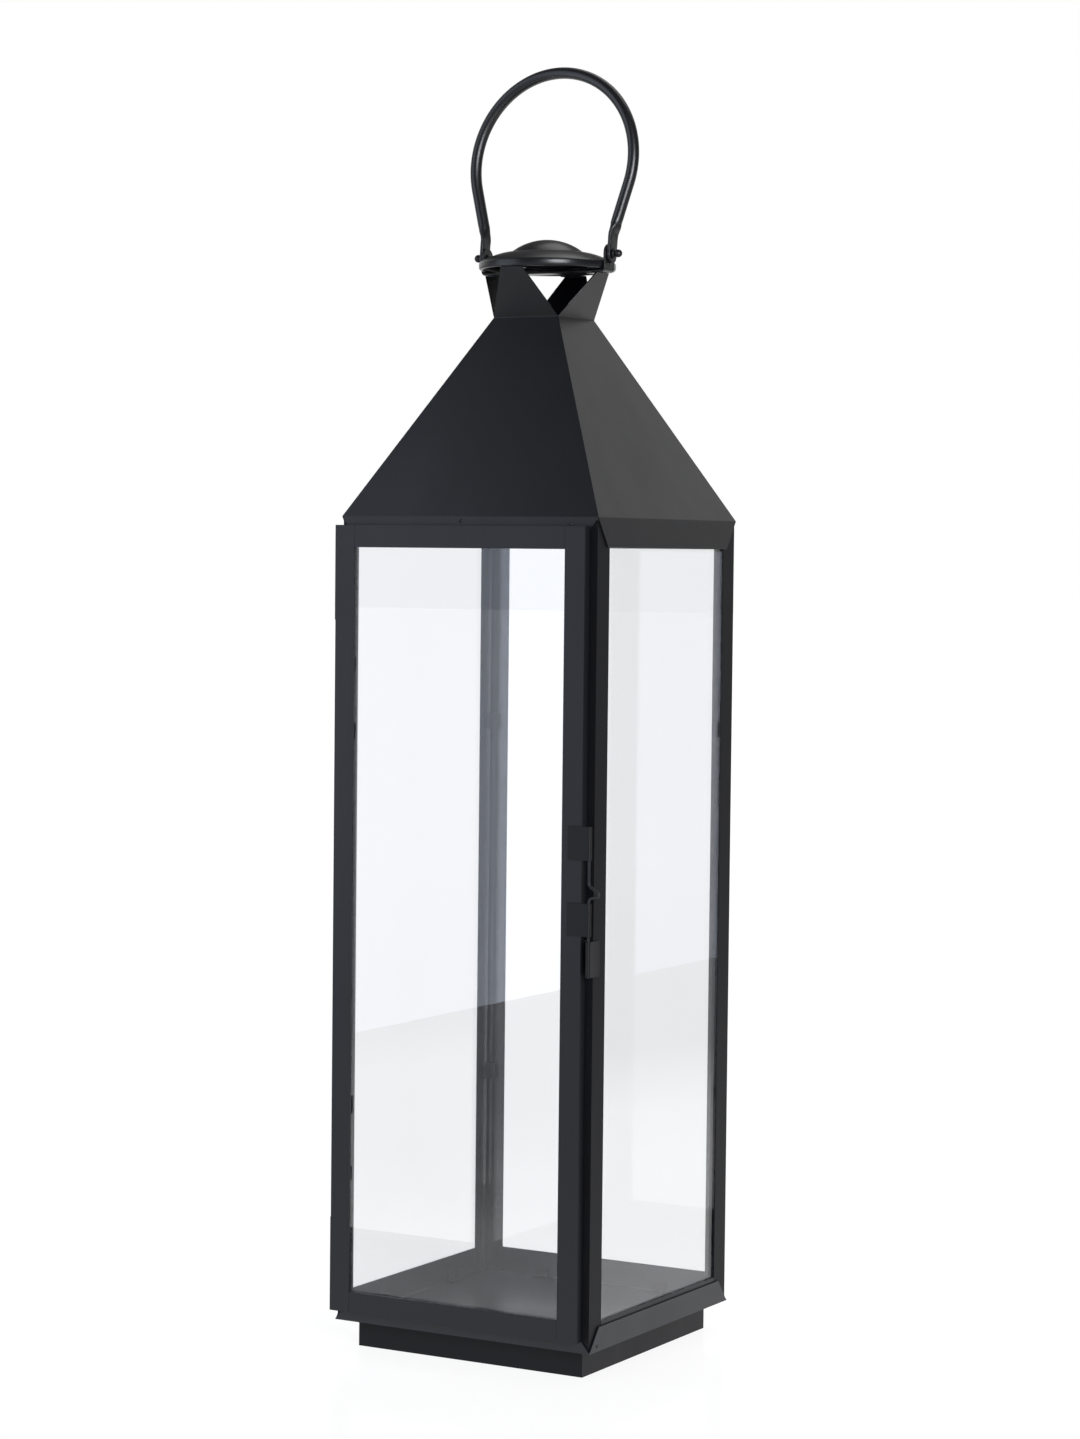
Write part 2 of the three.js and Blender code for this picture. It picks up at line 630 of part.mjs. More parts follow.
/** The bolt: one bent wire, with a finger pull that sticks out to the side between the two sleeves. */
function boltWire() {
  const { x, y, wire } = LATCH;
  const { bottom, top, pull, pullBottom, pullTop } = BOLT;
  const at = (out, z) => new THREE.Vector3(x + out, y, z);
  const middle = (pullBottom + pullTop) / 2;
  const path = new THREE.CurvePath();
  const stations = [
    at(0, bottom),
    at(0, pullBottom - 1.5),
    at(1.5, pullBottom),
    at(pull - 1.5, pullBottom),
    at(pull, pullBottom + 1.6),
    at(pull - 1.2, middle - 0.6),
    at(1.2, pullTop - 2.5),
    at(0, pullTop),
    at(0, top),
  ];
  for (let i = 0; i + 1 < stations.length; i += 1) {
    path.add(new THREE.LineCurve3(stations[i], stations[i + 1]));
  }
  const knuckles = stations
    .slice(1, -1)
    .map((station) => new THREE.SphereGeometry(wire, 12, 8).translate(...station));
  const links = path.curves.map((line) => {
    const length = line.v1.distanceTo(line.v2);
    const rod = new THREE.CylinderGeometry(wire, wire, length, 12);
    const turn = new THREE.Quaternion().setFromUnitVectors(
      new THREE.Vector3(0, 1, 0),
      line.v2.clone().sub(line.v1).normalize(),
    );
    return rod.applyQuaternion(turn).translate(...line.v1.clone().lerp(line.v2, 0.5));
  });
  return join(...links, ...knuckles);
}

add("latch_sleeve_upper", doorSleeve(UPPER_SLEEVE), materials.fittings);
add("latch_sleeve_lower", doorSleeve(LOWER_SLEEVE), materials.fittings);
add("latch_keeper", keeper(), materials.fittings);
add("latch_bolt", boltWire(), materials.fittings);

export default lantern;
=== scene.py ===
"""The looks of a glazed candle lantern: black powder-coated sheet, clear glass, a rod handle and fittings.

Metres, +Z up, the door faces -Y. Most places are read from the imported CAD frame; other sizes are set here.
"""

import json
import math

import bmesh
import bpy
from mathutils import Matrix, Vector


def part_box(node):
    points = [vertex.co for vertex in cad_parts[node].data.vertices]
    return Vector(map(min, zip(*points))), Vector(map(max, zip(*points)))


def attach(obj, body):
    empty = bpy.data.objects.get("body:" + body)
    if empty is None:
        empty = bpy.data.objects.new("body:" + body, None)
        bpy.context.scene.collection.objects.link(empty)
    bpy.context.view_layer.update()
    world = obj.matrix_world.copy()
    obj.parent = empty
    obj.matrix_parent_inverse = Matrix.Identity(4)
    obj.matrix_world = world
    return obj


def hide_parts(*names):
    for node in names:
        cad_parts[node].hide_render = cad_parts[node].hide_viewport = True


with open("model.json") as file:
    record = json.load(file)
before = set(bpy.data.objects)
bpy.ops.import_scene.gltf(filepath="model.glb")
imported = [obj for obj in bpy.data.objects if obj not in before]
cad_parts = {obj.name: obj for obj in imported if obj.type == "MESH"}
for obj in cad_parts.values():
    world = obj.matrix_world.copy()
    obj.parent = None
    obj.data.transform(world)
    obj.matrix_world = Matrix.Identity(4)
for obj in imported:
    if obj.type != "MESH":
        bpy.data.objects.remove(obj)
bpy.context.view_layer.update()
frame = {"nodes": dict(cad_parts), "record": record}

MM = 0.001
SHEET = 0.8 * MM  # thin folded sheet
BODY = "lantern_body"
DOOR = "door"
BOLT = "latch_bolt"
HANDLE = "handle"
JOINTS = {joint["name"]: joint for joint in frame["record"]["behaviour"]["joints"]}
PIVOT = Vector(JOINTS["handle_pivot"]["pos_m"])
HINGE_AXIS = JOINTS["door_hinge"]["pos_m"][:2]
BOLT_AXIS = (105.5 * MM, -113.1 * MM)  # x and y of the latch's upright wire
HANDLE_LEAN = math.radians(6.4)


# ---------------------------------------------------------------- materials
class Shader:
    """A node material with one Principled shader, and short calls for the nodes that drive it."""

    def __init__(self, name, **values):
        self.material = bpy.data.materials.new(name)
        self.material.use_nodes = True
        self.tree = self.material.node_tree
        self.shader = self.tree.nodes["Principled BSDF"]
        self.output = self.tree.nodes["Material Output"]
        for key, value in values.items():
            self.shader.inputs[key.replace("_", " ")].default_value = value

    def node(self, kind, **values):
        """A node of that kind; a value that is a socket is linked, and any other is set."""
        made = self.tree.nodes.new(kind)
        for key, value in values.items():
            name = key.replace("_", " ")
            if isinstance(value, bpy.types.NodeSocket):
                self.tree.links.new(value, made.inputs[name])
            else:
                made.inputs[name].default_value = value
        return made

    def place(self, stretch=(1, 1, 1)):
        """The point in the lantern's own frame, in metres, stretched along the axes."""
        point = self.node("ShaderNodeTexCoord").outputs["Object"]
        return self.node("ShaderNodeMapping", Vector=point, Scale=stretch).outputs["Vector"]

    def noise(self, per_metre, detail=3, roughness=0.5, stretch=(1, 1, 1)):
        """Noise with that many waves to a metre."""
        made = self.node("ShaderNodeTexNoise", Vector=self.place(stretch), Scale=per_metre)
        made.inputs["Detail"].default_value = detail
        made.inputs["Roughness"].default_value = roughness
        return made.outputs["Fac"]

    def remap(self, factor, low, high, to_low, to_high):
        """factor's stretch from low to high, drawn out from to_low to to_high."""
        made = self.node("ShaderNodeMapRange", Value=factor)
        for name, value in zip(("From Min", "From Max", "To Min", "To Max"), (low, high, to_low, to_high)):
            made.inputs[name].default_value = value
        return made.outputs["Result"]

    def dot(self, direction):
        """How far the point lies along a direction."""
        made = self.tree.nodes.new("ShaderNodeVectorMath")
        made.operation = "DOT_PRODUCT"
        made.inputs[1].default_value = direction
        self.tree.links.new(self.place(), made.inputs[0])
        return made.outputs["Value"]

    def math(self, operation, first, second=0.0):
        """Arithmetic on a socket and a second socket or number."""
        made = self.tree.nodes.new("ShaderNodeMath")
        made.operation = operation
        self.tree.links.new(first, made.inputs[0])
        if isinstance(second, bpy.types.NodeSocket):
            self.tree.links.new(second, made.inputs[1])
        else:
            made.inputs[1].default_value = second
        return made.outputs["Value"]

    def blend(self, factor, first, second):
        """A colour between two, each a colour or a socket."""
        made = self.tree.nodes.new("ShaderNodeMix")
        made.data_type = "RGBA"
        self.tree.links.new(factor, made.inputs[0])
        for socket, value in ((made.inputs[6], first), (made.inputs[7], second)):
            if isinstance(value, bpy.types.NodeSocket):
                self.tree.links.new(value, socket)
            else:
                socket.default_value = (*value, 1)
        return made.outputs[2]

    def bump(self, height, distance, under=None):
        """A bumped normal; under is a bump that this one lies on."""
        made = self.node("ShaderNodeBump", Height=height, Distance=distance, Strength=1.0)
        if under is not None:
            self.tree.links.new(under, made.inputs["Normal"])
        return made.outputs["Normal"]

    def drive(self, **sockets):
        """Links sockets to the Principled shader's inputs of those names."""
        for key, socket in sockets.items():
            self.tree.links.new(socket, self.shader.inputs[key.replace("_", " ")])

    def cover(self, factor, over):
        """Mixes another shader over the Principled one; factor is a socket or a number."""
        mix = self.node("ShaderNodeMixShader", Fac=factor)
        self.tree.links.new(self.shader.outputs["BSDF"], mix.inputs[1])
        self.tree.links.new(over.outputs["BSDF"], mix.inputs[2])
        self.tree.links.new(mix.outputs["Shader"], self.output.inputs["Surface"])


DUST_COLOR = (0.32, 0.32, 0.31)


def powder_coat(name, color, roughness, specular=0.3, orange_peel=0.002, waviness=0.2, dust=0.05):
    """Satin black powder coat: orange peel, slow waves of thin sheet, faint clouds and specks of dust."""
    made = Shader(name, Roughness=roughness, IOR=1.5, Specular_IOR_Level=specular)
    cloud = made.noise(9, detail=4)
    speck = made.noise(1400, detail=1)
    dusty = made.remap(speck, 0.72, 0.8, 0, dust)
    tint = made.blend(cloud, [c * 0.86 for c in color], [c * 1.16 for c in color])
    made.drive(Base_Color=made.blend(dusty, tint, DUST_COLOR))
    smear = made.noise(16, detail=5, roughness=0.65, stretch=(1, 1, 0.35))
    made.drive(Roughness=made.remap(smear, 0.3, 0.7, roughness - 0.04, roughness + 0.05))
    waves = made.bump(made.noise(13, detail=1), waviness * MM)
    made.drive(Normal=made.bump(made.noise(900, detail=2), orange_peel * MM, under=waves))
    return made.material


def clear_glass(name, tint):
    """Float glass. Lamps reach what is behind it, as they do through a real pane."""
    made = Shader(name, Roughness=0.0, IOR=1.5, Transmission_Weight=1.0)
    haze = made.noise(7, detail=4)
    made.drive(Base_Color=made.blend(haze, tint, [min(c * 1.012, 1) for c in tint]))
    lamp = made.tree.nodes.new("ShaderNodeLightPath").outputs["Is Shadow Ray"]
    made.cover(lamp, made.node("ShaderNodeBsdfTransparent", Color=(0.94, 0.95, 0.95, 1)))
    return made.material


MATERIALS = {
    "frame": powder_coat("frame_paint", (0.0058, 0.0062, 0.0086), 0.38, specular=0.34),
    # the posts' copy of the black coat is darker than the frame's: painted shade
    "post": powder_coat("post_paint_painted_shade", (0.0042, 0.0044, 0.0056), 0.46, specular=0.14, orange_peel=0),
    "roof": powder_coat("roof_paint", (0.0022, 0.0024, 0.0038), 0.32, specular=0.36),
    "cap": powder_coat(
        "cap_paint", (0.0050, 0.0052, 0.0070), 0.30, specular=0.42, orange_peel=0, waviness=0.01
    ),
    # the floor plate's copy of the black coat is lighter than the frame's: painted light
    "floor": powder_coat("floor_paint_painted_light", (0.0085, 0.0092, 0.0120), 0.33, specular=0.37, dust=0.08),
    # the fittings' copy of the black coat is lighter than the frame's: painted light
    "fittings": powder_coat("fittings_paint_painted_light", (0.0100, 0.0100, 0.0112), 0.30, waviness=0.05),
    # the latch's copy of the fittings paint is darker: painted shade on the sleeves and keeper
    "latch": powder_coat("latch_paint_painted_shade", (0.0060, 0.0061, 0.0074), 0.42, specular=0.22, waviness=0.05),
    # the plinth's copy of the black coat is darker than the frame's: painted shade
    "base": powder_coat("base_paint_painted_shade", (0.0045, 0.0047, 0.0062), 0.42, specular=0.17),
    "handle": powder_coat(
        "handle_paint", (0.0045, 0.0045, 0.0060), 0.32, specular=0.5, orange_peel=0, waviness=0
    ),
    "glass": clear_glass("float_glass", (0.940, 0.943, 0.950)),
}


# ---------------------------------------------------------------- mesh helpers
def piece(name, mesh, body, slot, replaced=(), smooth=True, finish=None):
    """A piece that rides on a body, has its slot's finish or one of its own, and stands for CAD nodes."""
    made = bpy.data.objects.new(name, mesh)
    bpy.context.scene.collection.objects.link(made)
    made.data.materials.append(MATERIALS[finish or slot])
    for polygon in mesh.polygons:
        polygon.use_smooth = smooth
    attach(made, body)
    if replaced:
        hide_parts(*replaced)
    return made


def as_mesh(name, made):
    """A bmesh as a mesh, its doubles merged and its faces pointing out."""
    bmesh.ops.remove_doubles(made, verts=made.verts, dist=0.001 * MM)
    bmesh.ops.recalc_face_normals(made, faces=made.faces)
    mesh = bpy.data.meshes.new(name)
    made.to_mesh(mesh)
    made.free()
    return mesh


def soften(made, width, segments=2, angle=30):
    """Rounds the crisp edges a little and keeps the flats flat."""
    bevel = made.modifiers.new("soft_edges", "BEVEL")
    bevel.width = width
    bevel.segments = segments
    bevel.limit_method = "ANGLE"
    bevel.angle_limit = math.radians(angle)
    bevel.harden_normals = False
    made.modifiers.new("weighted_normals", "WEIGHTED_NORMAL").keep_sharp = True


def lathe(points, sides, axis=Matrix.Identity(4)):
    """A bmesh turned about Z from (radius, height) points, whose ends lie on the axis or meet."""
    made = bmesh.new()
    rings = []
    for radius, z in points:
        ring = []
        for i in range(sides if radius > 1e-7 else 1):
            angle = 2 * math.pi * i / sides
            point = Vector((radius * math.cos(angle), radius * math.sin(angle), z))
            ring.append(made.verts.new(axis @ point))
        rings.append(ring)
    for low, high in zip(rings, rings[1:]):
        for i in range(sides):
            corners = [low[i % len(low)], low[(i + 1) % len(low)]]
            corners += [high[(i + 1) % len(high)], high[i % len(high)]]
            corners = list(dict.fromkeys(corners))
            if len(corners) > 2:
                made.faces.new(corners)
    return made


def sweep(stations):
    """A bmesh through rings of points, closed at both ends."""
    made = bmesh.new()
    rings = [[made.verts.new(point) for point in ring] for ring in stations]
    sides = len(rings[0])
    for low, high in zip(rings, rings[1:]):
        for i in range(sides):
            j = (i + 1) % sides
            made.faces.new((low[i], low[j], high[j], high[i]))
    made.faces.new(rings[0][::-1])
    made.faces.new(rings[-1])
    return made


def arc(cx, cy, radius, start, end, steps):
    """Points on a circle from one angle to another, in degrees, both ends included."""
    angles = [math.radians(start + (end - start) * i / steps) for i in range(steps + 1)]
    return [(cx + radius * math.cos(a), cy + radius * math.sin(a)) for a in angles]


def powered(value, power):
    """A sine or cosine drawn toward 1 or -1 by a power below 1, which flattens a circle's sides."""
    return math.copysign(abs(value) ** power, value)


def join_meshes(name, meshes):
    """One mesh from several bmeshes."""
    whole = bmesh.new()
    for part in meshes:
        mesh = bpy.data.meshes.new("part")
        part.to_mesh(mesh)
        part.free()
        whole.from_mesh(mesh)
        bpy.data.meshes.remove(mesh)
    bmesh.ops.recalc_face_normals(whole, faces=whole.faces)
    mesh = bpy.data.meshes.new(name)
    whole.to_mesh(mesh)
    whole.free()
    return mesh


def span(node):
    """The node's lowest and highest corner as Vectors."""
    low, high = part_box(node)
    return Vector(low), Vector(high)


# ---------------------------------------------------------------- CAD nodes that keep their shape
FOLDED = {  # how far their edges are rounded, in millimetres
    "plinth": 0.5,
    "base_plate": 0.3,
    **{f"sill_{side}": 0.2 for side in ("front", "right", "back", "left")},
    **{f"post_{corner}": 0.3 for corner in ("front_right", "back_right", "back_left", "front_left")},
    "door_stile_left": 0.35,
    "door_stile_right": 0.35,
    "door_rail_top": 0.3,
    "door_rail_bottom": 0.3,
}
# CAD nodes whose finish is not their slot's own: the posts and the plinth take darker copies of the black
# coat, painted shade
FINISH = {node: "post" for node in FOLDED if node.startswith("post_")}
FINISH["plinth"] = "base"
SLOT_OF = {entry["node"]: entry["material_slot"] for entry in frame["record"]["subparts"]}

for node, made in frame["nodes"].items():
    made.data.materials.clear()
    made.data.materials.append(MATERIALS[FINISH.get(node, SLOT_OF[node])])
    if node in FOLDED:
        soften(made, FOLDED[node] * MM)
    elif SLOT_OF[node] == "glass":
        soften(made, 0.4 * MM, segments=1)
    elif "clip" in node or "tab" in node:
        soften(made, 0.2 * MM)


# ---------------------------------------------------------------- roof
SIDES = ("front", "right", "back", "left")  # a quarter turn apart


def crown_edge(side, quarters):
    """How far out from the middle, and how high, that side's crown flap ends."""
    made = frame["nodes"][f"roof_panel_{side}"]
    facing = Matrix.Rotation(-quarters * math.pi / 2, 4, "Z") @ made.matrix_world
    points = [facing @ vertex.co for vertex in made.data.vertices]
    top = max(point.z for point in points)
    return max(-point.y for point in points if point.z > top - 0.1 * MM), top


def roof():
    """Four folded panels welded along the hips: eave bands with slanted ends, slopes and crown flaps."""
    low, high = span("roof_panel_front")
    band_tall, crown_tall = 20.9 * MM, 34.7 * MM
    half = -low.y
    band_z = low.z
    fold_z = band_z + band_tall
    top_z = high.z - crown_tall
    top_half = 27 * MM
    band_half = 91.3 * MM
    crown_half, tab = 8.9 * MM, 8 * MM
    slope_rows, crown_rows = 10, 4
    made = bmesh.new()

    def turn(x, y, z, quarters):
        return Matrix.Rotation(quarters * math.pi / 2, 4, "Z") @ Vector((x, y, z))

    for quarters, side in enumerate(SIDES):
        reach, cap_top = crown_edge(side, quarters)
        rows = [[(-band_half, -half, band_z), (band_half, -half, band_z)]]
        for i in range(slope_rows + 1):
            t = i / slope_rows
            size = half + (top_half - half) * t
            z = fold_z + (top_z - fold_z) * t
            rows.append([(-size, -size, z), (size, -size, z)])
        for i in range(1, crown_rows + 1):
            t = i / crown_rows
            wide = top_half + (crown_half - top_half) * t
            out = top_half + (reach - top_half) * t
            z = top_z + (cap_top - top_z) * t
            rows.append([(-wide, -out, z), (wide, -out, z)])
        rows.append([(-crown_half, -reach + tab, cap_top), (crown_half, -reach + tab, cap_top)])
        verts = [[made.verts.new(turn(*point, quarters)) for point in row] for row in rows]
        for below, above in zip(verts, verts[1:]):
            made.faces.new((below[0], below[1], above[1], above[0]))
    panels = [f"roof_panel_{side}" for side in SIDES]
    shell = piece("roof_shell", as_mesh("roof_shell", made), BODY, "roof", panels, smooth=False)
    solid = shell.modifiers.new("sheet", "SOLIDIFY")
    solid.thickness = SHEET
    solid.offset = -1
    solid.use_even_offset = True
    soften(shell, 0.3 * MM, angle=20)


def weld_dot(name, at, normal, radius):
    """A small flattened bead of weld on a flat face of the body."""
    rings = 6
    tall, sunk = 0.45, -0.1  # shares of the radius
    points = [(0, sunk * radius), (radius, sunk * radius)]
    for i in range(rings):
        angle = math.pi / 2 * i / rings
        points.append((radius * math.cos(angle), radius * tall * math.sin(angle)))
    points.append((0, radius * tall))
    turn = Vector(normal).to_track_quat("Z", "Y").to_matrix().to_4x4()
    made = lathe(points, 18, Matrix.Translation(at) @ turn)
    piece(name, as_mesh(name, made), BODY, "frame")


def welds():
    """Ground-down weld points on the front eave band and on the right apron."""
    band = span("roof_panel_front")[0].y
    apron = span("base_plate")[1].x
    forward, rightward = (0, -1, 0), (1, 0, 0)
    weld_dot("weld_band_middle", (-5.9 * MM, band, 603.4 * MM), forward, 1.5 * MM)
    weld_dot("weld_band_right", (83.4 * MM, band, 601.6 * MM), forward, 1.3 * MM)
    weld_dot("weld_apron", (apron, -95 * MM, 24 * MM), rightward, 1.2 * MM)


# ---------------------------------------------------------------- cap
def cap():
    """The round cap: a spun dome on a wide shoulder, its rim rolled round a wire."""
    low, high = span("cap")
    bead, tall = 1.9 * MM, 3.1 * MM
    middle = (low.x + high.x) / 2
    rim = high.x - middle - bead
    rim_z = low.z + tall
    top = high.z
    dome_r = 26.2 * MM
    dome_z = top - 8.9 * MM
    skin = 1 * MM
    rise = top - dome_z
    sphere = (dome_r**2 + rise**2) / (2 * rise)
    sweep_angle = math.asin(dome_r / sphere)
    shoulder_r, shoulder_z = dome_r + 0.7 * MM, dome_z - 0.5 * MM
    end_r, end_z = rim + bead * 0.55, rim_z + tall * 0.84
    steps = 24

    def outline(inset):
        """The dome and the shoulder, from the axis out to the roll."""
        points = []
        for i in range(steps + 1):
            a = sweep_angle * i / steps
            points.append(((sphere - inset) * math.sin(a), top - sphere + (sphere - inset) * math.cos(a)))
        for i in range(steps + 1):
            t = i / steps
            drop = (shoulder_z - end_z) * t**1.7
            points.append((shoulder_r + (end_r - shoulder_r) * t - inset * t, shoulder_z - inset - drop))
        return points

    roll = []
    for x, z in arc(0, 0, 1, 30, -195, 28):
        out = powered(x, 0.6)
        up = powered(z, 0.8)
        roll.append((rim + bead * out, rim_z + tall * up))
    points = [*outline(0), *roll, *outline(skin)[:-1][::-1]]
    mesh = as_mesh("cap_spun", lathe(points, 128, Matrix.Translation((middle, 0, 0))))
    piece("cap_spun", mesh, BODY, "roof", ["cap"], finish="cap")


# ---------------------------------------------------------------- bracket strap, handle and its rivets
def ribbon(path, half_widths, thickness):
    """A bmesh of sheet that follows a path of (x, z) points, with a half width at each."""
    across = Vector((0, 1, 0))
    stations = []
    for i, (x, z) in enumerate(path):
        before, after = path[max(i - 1, 0)], path[min(i + 1, len(path) - 1)]
        along = Vector((after[0] - before[0], 0, after[1] - before[1])).normalized()
        normal = along.cross(across).normalized() * (thickness / 2)
        side = across * half_widths[i]
        middle = Vector((x, 0, z))
        ring = [middle + side + normal, middle - side + normal]
        ring += [middle - side - normal, middle + side - normal]
        stations.append(ring)
    return sweep(stations)


def bracket_strap():
    """The strap under the cap, bent up at both ends into ears with pointed arch tops."""
    low, high = span("bracket_strap")
    thick, bend = 1.5 * MM, 3 * MM
    middle = (low.x + high.x) / 2
    half = high.x - middle - thick / 2
    wide = high.y
    flat_z = low.z + thick / 2
    radius = bend - thick / 2
    corner = half - radius
    arch_point, arch_round = 2.4, 0.62
    flat_steps, bend_steps, ear_steps = 8, 8, 18
    path = [(corner * i / flat_steps, flat_z) for i in range(flat_steps + 1)]
    path += arc(corner, flat_z + radius, radius, -90, 0, bend_steps)[1:]
    widths = [wide] * len(path)
    rise = high.z - PIVOT.z
    for i in range(1, ear_steps + 1):
        z = flat_z + radius + (high.z - flat_z - radius) * (i / ear_steps)
        over = max((z - PIVOT.z) / rise, 0)
        path.append((half, z))
        widths.append(max(wide * (1 - over**arch_point) ** arch_round, 0.6 * MM))
    left = [(-x, z) for x, z in path[:0:-1]]
    whole = [(middle + x, z) for x, z in left + path]
    mesh = as_mesh("bracket_strap_bent", ribbon(whole, widths[:0:-1] + widths, thick))
    made = piece("bracket_strap_bent", mesh, BODY, "fittings", ["bracket_strap"])
    soften(made, 0.3 * MM, angle=40)
    stud_r, stud_sunk = 1.9 * MM, -0.3 * MM
    stud = [(0, stud_sunk), (stud_r, stud_sunk), (stud_r, 0.05 * MM), (1.3 * MM, 0.45 * MM), (0, 0.6 * MM)]
    for side in (-1, 1):
        at = Matrix.Translation((middle + side * (half + thick / 2), 0, flat_z + 5 * MM))
        name = f"strap_stud_{end_name(side)}"
        turn = Matrix.Rotation(side * math.pi / 2, 4, "Y")
        piece(name, as_mesh(name, lathe(stud, 20, at @ turn)), BODY, "fittings")


def end_name(side):
    """The name of the lantern's right side, 1, or left side, -1."""
    return "right" if side > 0 else "left"


def smooth(t):
    """A step from 0 to 1 that starts and ends gently."""
    t = min(max(t, 0), 1)
    return t * t * (3 - 2 * t)


def bail_handle():
    """The round rod, bent to a hoop; both ends are hammered flat where they lie against the ears."""
    low, high = span("bail_handle")
    rod = 4.2 * MM
    hoop = (high.x - low.x) / 2 - rod
    hoop_z = (high.z - rod - PIVOT.z) / math.cos(HANDLE_LEAN) - hoop
    flat_x, flat_half, flat_wide = 53.65 * MM, 1.3 * MM, 5.75 * MM
    bottom, neck = -7 * MM, 22 * MM
    swell_at, swell = 13 * MM, 9 * MM
    edge_lag = 3.2 * MM  # the back edge starts to swell this much lower, the front one higher
    flat_power = 0.32
    out = 1.8 * MM
    flat_steps, neck_steps, leg_steps, hoop_steps = 14, 14, 8, 36
    foot = Vector((flat_x + out, neck))
    tangent = math.atan2(foot.y - hoop_z, foot.x) + math.acos(hoop / math.hypot(foot.x, hoop_z - foot.y))
    touch = Vector((hoop * math.cos(tangent), hoop_z + hoop * math.sin(tangent)))
    route = []
    for i in range(flat_steps + 1):
        z = bottom + (swell_at - bottom) * (1 - math.cos(math.pi / 2 * i / flat_steps))
        route.append(Vector((flat_x, z)))
    for i in range(1, neck_steps + 1):
        z = swell_at + (neck - swell_at) * i / neck_steps
        route.append(Vector((flat_x + out * smooth(i / neck_steps), z)))
    for i in range(1, leg_steps + 1):
        route.append(foot.lerp(touch, i / leg_steps))
    for i in range(1, hoop_steps + 1):
        angle = tangent + (math.pi / 2 - tangent) * i / hoop_steps
        route.append(Vector((hoop * math.cos(angle), hoop_z + hoop * math.sin(angle))))
    sides = 32
    stations = []
    for i, at in enumerate(route):
        ahead = route[min(i + 1, len(route) - 1)] - route[max(i - 1, 0)]
        if i == len(route) - 1:
            ahead = Vector((-1, 0))
        ahead.normalize()
        outward = Vector((ahead.y, -ahead.x))
        lip = 1.0
        if at.y < bottom + flat_wide:
            lip = math.sqrt(max(1 - ((bottom + flat_wide - at.y) / flat_wide) ** 2, 0.0004))
        ring = []
        for k in range(sides):
            a = 2 * math.pi * k / sides
            c, s = math.cos(a), math.sin(a)
            round_share = smooth((at.y - swell_at + edge_lag * s) / swell)
            power = flat_power + (1 - flat_power) * round_share
            thick = powered(c, power) * (flat_half + (rod - flat_half) * round_share)
            wide = powered(s, power) * (flat_wide * lip + (rod - flat_wide) * round_share)
            place = at + outward * thick
            ring.append(Vector((place.x, wide, place.y)))
        stations.append(ring)
    mirrored = [[Vector((-p.x, p.y, p.z)) for p in ring] for ring in stations[:-1]][::-1]
    tilt = Matrix.Translation(PIVOT) @ Matrix.Rotation(-HANDLE_LEAN, 4, "X")
    rings = [[tilt @ p for p in ring] for ring in stations + mirrored]
    piece("bail_rod", as_mesh("bail_rod", sweep(rings)), HANDLE, "handle", ["bail_handle"])


def pivot_rivet(side):
    """A handle pivot: flat inner head, shank, washer lobe and round outer head."""
    low, high = span("pivot_rivet_right")
    inner, tip = low.x - PIVOT.x, high.x - PIVOT.x
    head = 2.9 * MM
    centre = tip - head
    washer = centre - head * 0.86 - 1.2 * MM
    points = [(0, inner), (2.2 * MM, inner), (2.7 * MM, inner + 0.3 * MM), (2.8 * MM, inner + 0.7 * MM)]
    points += [(2.8 * MM, inner + 1.4 * MM), (2 * MM, inner + 1.4 * MM), (2 * MM, washer)]
    points += [(3.3 * MM, washer), (3.6 * MM, washer + 0.3 * MM), (3.6 * MM, washer + 0.9 * MM)]
    points += [(3.3 * MM, washer + 1.2 * MM), (1.7 * MM, washer + 1.25 * MM)]
    points += [(r, x) for x, r in arc(centre, 0, head, 147, 0, 16)[:-1]]
    points.append((0, tip))
    turn = Matrix.Translation(PIVOT) @ Matrix.Rotation(side * math.pi / 2, 4, "Y")
    name = f"rivet_{end_name(side)}"
    piece(name, as_mesh(name, lathe(points, 40, turn)), BODY, "fittings", [f"pivot_{name}"])


# ---------------------------------------------------------------- hinges and latch
def rolled(path, thickness, low_z, high_z):
    """A bmesh of sheet whose edge follows a path of (x, y) points, from one height to another."""
    near, far = [], []
    for i, point in enumerate(path):
        before, after = Vector(path[max(i - 1, 0)]), Vector(path[min(i + 1, len(path) - 1)])
        along = (after - before).normalized()
        off = Vector((-along.y, along.x)) * (thickness / 2)
        near.append(Vector(point) + off)
        far.append(Vector(point) - off)
    outline = near + far[::-1]
    return sweep([[Vector((p.x, p.y, z)) for p in outline] for z in (low_z, high_z)])


def curl(cx, cy, radius, start, end):
    """An arc with a point at about every 12 degrees."""
    return arc(cx, cy, radius, start, end, max(int(abs(end - start) / 12), 4))


